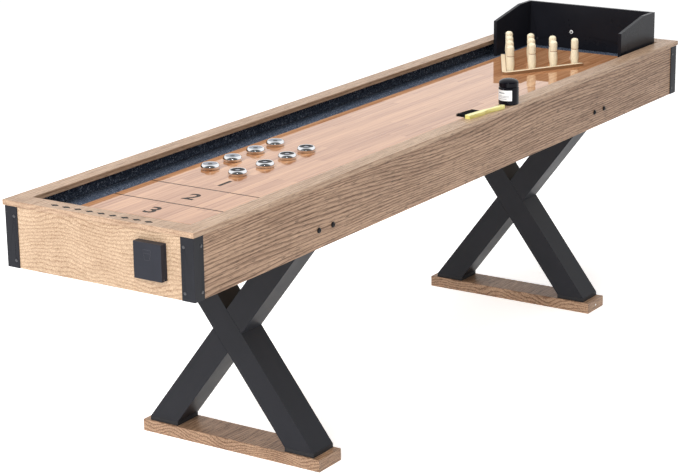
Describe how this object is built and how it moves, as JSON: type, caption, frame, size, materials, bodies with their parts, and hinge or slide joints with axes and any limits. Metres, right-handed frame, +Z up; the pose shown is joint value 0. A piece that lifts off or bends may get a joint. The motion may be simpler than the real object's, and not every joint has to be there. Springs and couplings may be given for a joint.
{
  "type": "shuffleboard table",
  "caption": "Long wooden shuffleboard table with carpeted gutters, X-shaped steel legs, a backboard, pucks, bowling pins in a V frame, a brush, a wax bottle and a fold-down cup holder.",
  "frame": {"origin": "on the floor, at the middle of the whole part's outline", "axes": "+X runs down the board from the players' end to the backboard, +Z is up, +Y is to the left of a player who looks down the board"},
  "size_m": [2.7586, 0.6115, 0.9075],
  "materials": {
    "oak": "satin lacquer",
    "oak_rail": "satin lacquer",
    "playing_surface": "high-gloss lacquer",
    "plywood": "bare",
    "pin_frame_wood": "satin lacquer",
    "pin_wood": "bare turned beech",
    "brush_wood": "pale yellow varnish",
    "black_board": "black laminate",
    "carpet": "needle-felt carpet",
    "bristles": "stiff black bristle",
    "black_steel": "satin black powder coat",
    "zinc_steel": "zinc plated",
    "black_plastic": "moulded",
    "cup_holder_plastic": "moulded",
    "puck_chrome": "polished",
    "bottle_plastic": "moulded"
  },
  "bodies": {
    "table": {"playfield_board": "playing_surface", "base_panel": "plywood", "cross_braces": "plywood", "support_battens": "plywood", "leg_mount_boards": "plywood", "leg_cleats": "plywood", "side_panel_left": "oak", "side_panel_right": "oak", "end_panel_near": "oak", "end_panel_far": "oak", "rail_left": "oak_rail", "rail_right": "oak_rail", "rail_near": "oak_rail", "rail_far": "oak_rail", "near_foot_board": "oak", "far_foot_board": "oak", "wall_carpets": "carpet", "gutter_carpets": "carpet", "corner_brackets": "black_steel", "panel_screws": "black_steel", "leg_bolts": "black_steel", "near_leg_long_beam": "black_steel", "near_leg_half_beams": "black_steel", "far_leg_long_beam": "black_steel", "far_leg_half_beams": "black_steel", "leg_pads": "black_plastic", "leg_screws": "zinc_steel", "backboard_panel": "black_board", "backboard_wing_left": "black_board", "backboard_wing_right": "black_board", "backboard_cleat": "black_board", "backboard_angle": "zinc_steel", "cup_holder_housing": "cup_holder_plastic", "cup_holder_pins": "zinc_steel"},
    "cup_door": {"cup_holder_door": "cup_holder_plastic"},
    "cup_arm_l": {"cup_arm_left": "cup_holder_plastic"},
    "cup_arm_r": {"cup_arm_right": "cup_holder_plastic"},
    "pin_rack": {"pin_frame": "pin_frame_wood"},
    "pin_1": {"pin_1": "pin_wood"},
    "pin_2": {"pin_2": "pin_wood"},
    "pin_3": {"pin_3": "pin_wood"},
    "pin_4": {"pin_4": "pin_wood"},
    "pin_5": {"pin_5": "pin_wood"},
    "pin_6": {"pin_6": "pin_wood"},
    "pin_7": {"pin_7": "pin_wood"},
    "pin_8": {"pin_8": "pin_wood"},
    "pin_9": {"pin_9": "pin_wood"},
    "pin_10": {"pin_10": "pin_wood"},
    "puck_silver_1": {"puck_silver_1": "puck_chrome"},
    "puck_silver_2": {"puck_silver_2": "puck_chrome"},
    "puck_silver_3": {"puck_silver_3": "puck_chrome"},
    "puck_silver_4": {"puck_silver_4": "puck_chrome"},
    "puck_black_1": {"puck_black_1": "puck_chrome"},
    "puck_black_2": {"puck_black_2": "puck_chrome"},
    "puck_black_3": {"puck_black_3": "puck_chrome"},
    "puck_black_4": {"puck_black_4": "puck_chrome"},
    "brush": {"brush_handle": "brush_wood", "brush_bristles": "bristles"},
    "bottle": {"wax_bottle": "bottle_plastic"},
    "bottle_cap": {"wax_bottle_cap": "bottle_plastic"}
  },
  "joints": [
    {"name": "cup_door_fold", "type": "hinge", "parent": "table", "child": "cup_door", "pos_m": [-1.36975, -0.173, 0.674], "axis": [0, -1, 0], "range_deg": [0, 90]},
    {"name": "cup_arm_left_swing", "type": "hinge", "parent": "table", "child": "cup_arm_l", "pos_m": [-1.36475, -0.138, 0.735], "axis": [0, 0, -1], "range_deg": [0, 90]},
    {"name": "cup_arm_right_swing", "type": "hinge", "parent": "table", "child": "cup_arm_r", "pos_m": [-1.36475, -0.208, 0.735], "axis": [0, 0, 1], "range_deg": [0, 90]},
    {"name": "pin_frame_pull", "type": "slide", "parent": "table", "child": "pin_rack", "axis": [-1, 0, 0], "range_m": [0, 0.3]},
    {"name": "pin_1_lift", "type": "slide", "parent": "table", "child": "pin_1", "axis": [0, 0, 1], "range_m": [0, 0.12]},
    {"name": "pin_2_lift", "type": "slide", "parent": "table", "child": "pin_2", "axis": [0, 0, 1], "range_m": [0, 0.12]},
    {"name": "pin_3_lift", "type": "slide", "parent": "table", "child": "pin_3", "axis": [0, 0, 1], "range_m": [0, 0.12]},
    {"name": "pin_4_lift", "type": "slide", "parent": "table", "child": "pin_4", "axis": [0, 0, 1], "range_m": [0, 0.12]},
    {"name": "pin_5_lift", "type": "slide", "parent": "table", "child": "pin_5", "axis": [0, 0, 1], "range_m": [0, 0.12]},
    {"name": "pin_6_lift", "type": "slide", "parent": "table", "child": "pin_6", "axis": [0, 0, 1], "range_m": [0, 0.12]},
    {"name": "pin_7_lift", "type": "slide", "parent": "table", "child": "pin_7", "axis": [0, 0, 1], "range_m": [0, 0.12]},
    {"name": "pin_8_lift", "type": "slide", "parent": "table", "child": "pin_8", "axis": [0, 0, 1], "range_m": [0, 0.12]},
    {"name": "pin_9_lift", "type": "slide", "parent": "table", "child": "pin_9", "axis": [0, 0, 1], "range_m": [0, 0.12]},
    {"name": "pin_10_lift", "type": "slide", "parent": "table", "child": "pin_10", "axis": [0, 0, 1], "range_m": [0, 0.12]},
    {"name": "puck_silver_1_slide", "type": "slide", "parent": "table", "child": "puck_silver_1", "axis": [1, 0, 0], "range_m": [-0.44, 0.045]},
    {"name": "puck_silver_2_slide", "type": "slide", "parent": "table", "child": "puck_silver_2", "axis": [1, 0, 0], "range_m": [-0.045, 0.045]},
    {"name": "puck_silver_3_slide", "type": "slide", "parent": "table", "child": "puck_silver_3", "axis": [1, 0, 0], "range_m": [-0.045, 0.045]},
    {"name": "puck_silver_4_slide", "type": "slide", "parent": "table", "child": "puck_silver_4", "axis": [1, 0, 0], "range_m": [-0.045, 1.24]},
    {"name": "puck_black_1_slide", "type": "slide", "parent": "table", "child": "puck_black_1", "axis": [1, 0, 0], "range_m": [-0.42, 0.045]},
    {"name": "puck_black_2_slide", "type": "slide", "parent": "table", "child": "puck_black_2", "axis": [1, 0, 0], "range_m": [-0.045, 0.045]},
    {"name": "puck_black_3_slide", "type": "slide", "parent": "table", "child": "puck_black_3", "axis": [1, 0, 0], "range_m": [-0.045, 0.035]},
    {"name": "puck_black_4_slide", "type": "slide", "parent": "table", "child": "puck_black_4", "axis": [1, 0, 0], "range_m": [-0.035, 1.14]},
    {"name": "brush_lift", "type": "slide", "parent": "table", "child": "brush", "axis": [0, 0, 1], "range_m": [0, 0.15]},
    {"name": "bottle_lift", "type": "slide", "parent": "table", "child": "bottle", "axis": [0, 0, 1], "range_m": [0, 0.15]},
    {"name": "bottle_cap_lift", "type": "slide", "parent": "bottle", "child": "bottle_cap", "axis": [0, 0, 1], "range_m": [0, 0.05]}
  ],
  "couplings": [
    {"joint": "cup_arm_left_swing", "follows": "cup_door_fold", "ratio": 1},
    {"joint": "cup_arm_right_swing", "follows": "cup_door_fold", "ratio": 1}
  ]
}
